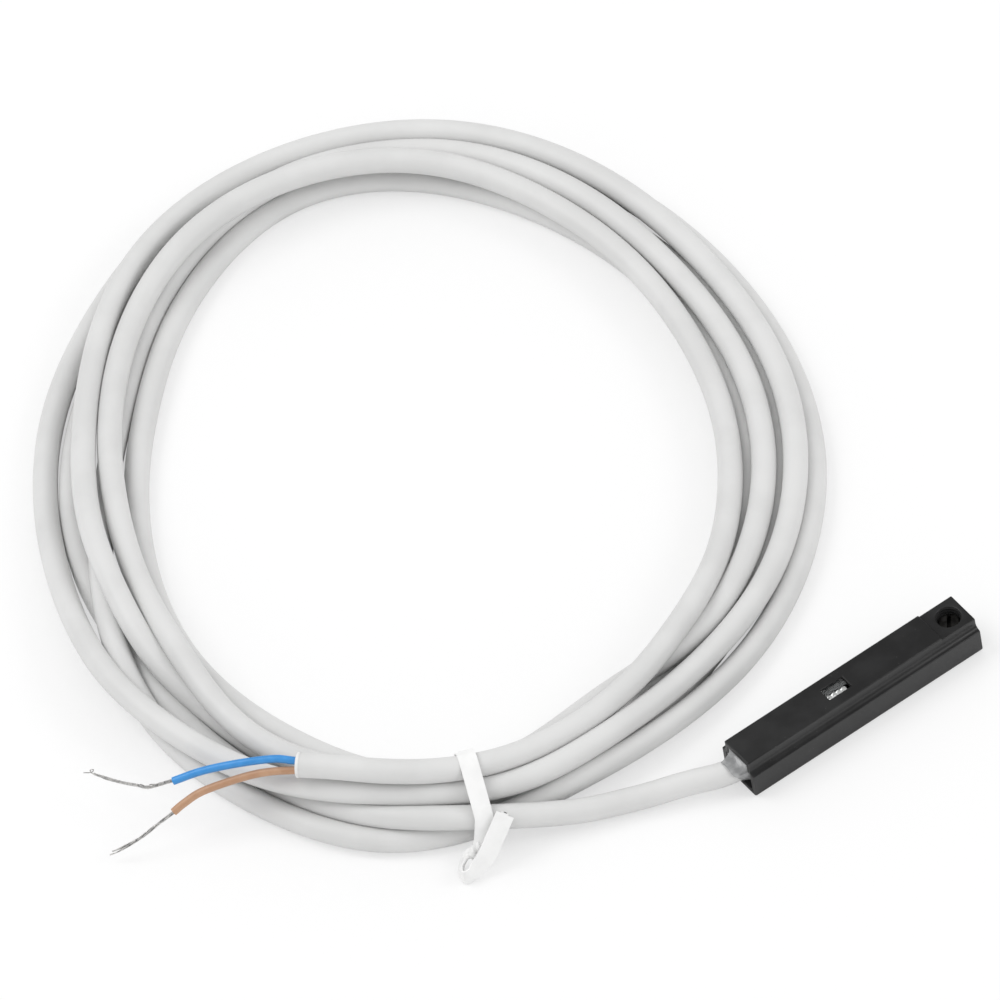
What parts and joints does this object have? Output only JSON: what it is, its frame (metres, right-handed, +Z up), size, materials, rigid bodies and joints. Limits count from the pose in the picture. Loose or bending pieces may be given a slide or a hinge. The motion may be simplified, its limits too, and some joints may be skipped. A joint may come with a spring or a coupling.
{
  "type": "cylinder reed switch",
  "caption": "Slim black slot-mounted magnetic reed switch with a lamp window and a slotted clamping screw, on a round grey lead that is wound into a tied coil and stripped at its end.",
  "frame": {"origin": "centre of the case's flat bottom", "axes": "+X along the case towards its clamping screw, +Y towards the coiled lead, +Z up through the window"},
  "size_m": [0.1024, 0.1064, 0.0099],
  "materials": {
    "black_moulding": "fine satin moulding",
    "screw_steel": "dark turned steel",
    "clear_resin": "clear cast resin",
    "lamp_red": "tinted clear",
    "board_green": "solder resist",
    "chip_black": "moulded",
    "capsule_glass": "fire-polished",
    "nickel_iron": "drawn and rolled",
    "solder": "reflowed",
    "grey_resin": "cast potting resin",
    "brown_sleeve": "extruded",
    "blue_sleeve": "extruded",
    "grey_sheath": "extruded, satin",
    "tinned_wire": "tinned strands",
    "white_tie": "extruded over wire"
  },
  "bodies": {
    "switch_body": {"case": "black_moulding", "window_lens": "clear_resin", "indicator_led": "lamp_red", "circuit_board": "board_green", "resistor": "chip_black", "zener_diode": "chip_black", "reed_glass": "capsule_glass", "reed_lead_front": "nickel_iron", "reed_lead_rear": "nickel_iron", "solder_front": "solder", "solder_rear": "solder", "solder_brown": "solder", "solder_blue": "solder", "end_seal": "grey_resin", "brown_inner_core": "brown_sleeve", "blue_inner_core": "blue_sleeve", "cord_lead_out": "grey_sheath", "cord_coil": "grey_sheath", "cord_tail": "grey_sheath", "blue_core": "blue_sleeve", "brown_core": "brown_sleeve", "blue_strands": "tinned_wire", "brown_strands": "tinned_wire", "twist_tie": "white_tie"},
    "set_screw": {"set_screw": "screw_steel"},
    "reed_blade_front": {"reed_blade_front": "nickel_iron"},
    "reed_blade_rear": {"reed_blade_rear": "nickel_iron"}
  },
  "joints": [
    {"name": "set_screw_turn", "type": "hinge", "parent": "switch_body", "child": "set_screw", "pos_m": [0.01345, 0, 0.002], "axis": [0, 0, 1], "range_deg": [-960, 640]},
    {"name": "reed_front_flex", "type": "hinge", "parent": "switch_body", "child": "reed_blade_front", "pos_m": [0.0081, 0, 0.00243], "axis": [0, -1, 0], "range_deg": [0, 2.2], "stiffness_Nm_per_rad": 0.026},
    {"name": "reed_rear_flex", "type": "hinge", "parent": "switch_body", "child": "reed_blade_rear", "pos_m": [0.0011, 0, 0.00198], "axis": [0, -1, 0], "range_deg": [0, 2.2], "stiffness_Nm_per_rad": 0.026}
  ]
}
